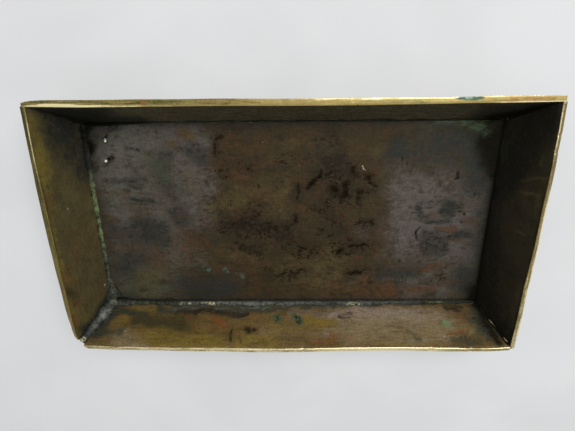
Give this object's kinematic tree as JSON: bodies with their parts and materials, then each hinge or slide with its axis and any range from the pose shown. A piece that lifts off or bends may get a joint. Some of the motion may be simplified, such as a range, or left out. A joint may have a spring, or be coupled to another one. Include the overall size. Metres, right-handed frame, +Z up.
{
  "type": "ink blotter tray",
  "caption": "Shallow rectangular desk tray of aged sheet brass with flared soldered walls, a bright worn rim, solder beads along the inside seams and small pin stubs in the base.",
  "frame": {"origin": "under the middle of the base plate, on the surface that the tray lies on", "axes": "+X along the long walls, +Y towards the back wall, +Z up out of the tray's mouth"},
  "size_m": [0.1798, 0.0998, 0.02],
  "materials": {
    "plate_brass": "dark brown aged patina, mottled and pitted",
    "wall_brass": "olive brown tarnish with bright worn edges",
    "solder": "dull grey, lumpy, with green corrosion",
    "pin_metal": "bright clipped wire ends"
  },
  "bodies": {
    "root": {"base_plate": "plate_brass", "back_wall": "wall_brass", "front_wall": "wall_brass", "left_end_wall": "wall_brass", "right_end_wall": "wall_brass", "back_floor_solder": "solder", "front_floor_solder": "solder", "left_floor_solder": "solder", "right_floor_solder": "solder", "back_left_corner_solder": "solder", "back_right_corner_solder": "solder", "front_left_corner_solder": "solder", "front_right_corner_solder": "solder", "upper_pin": "pin_metal", "lower_pin": "pin_metal"}
  },
  "joints": []
}
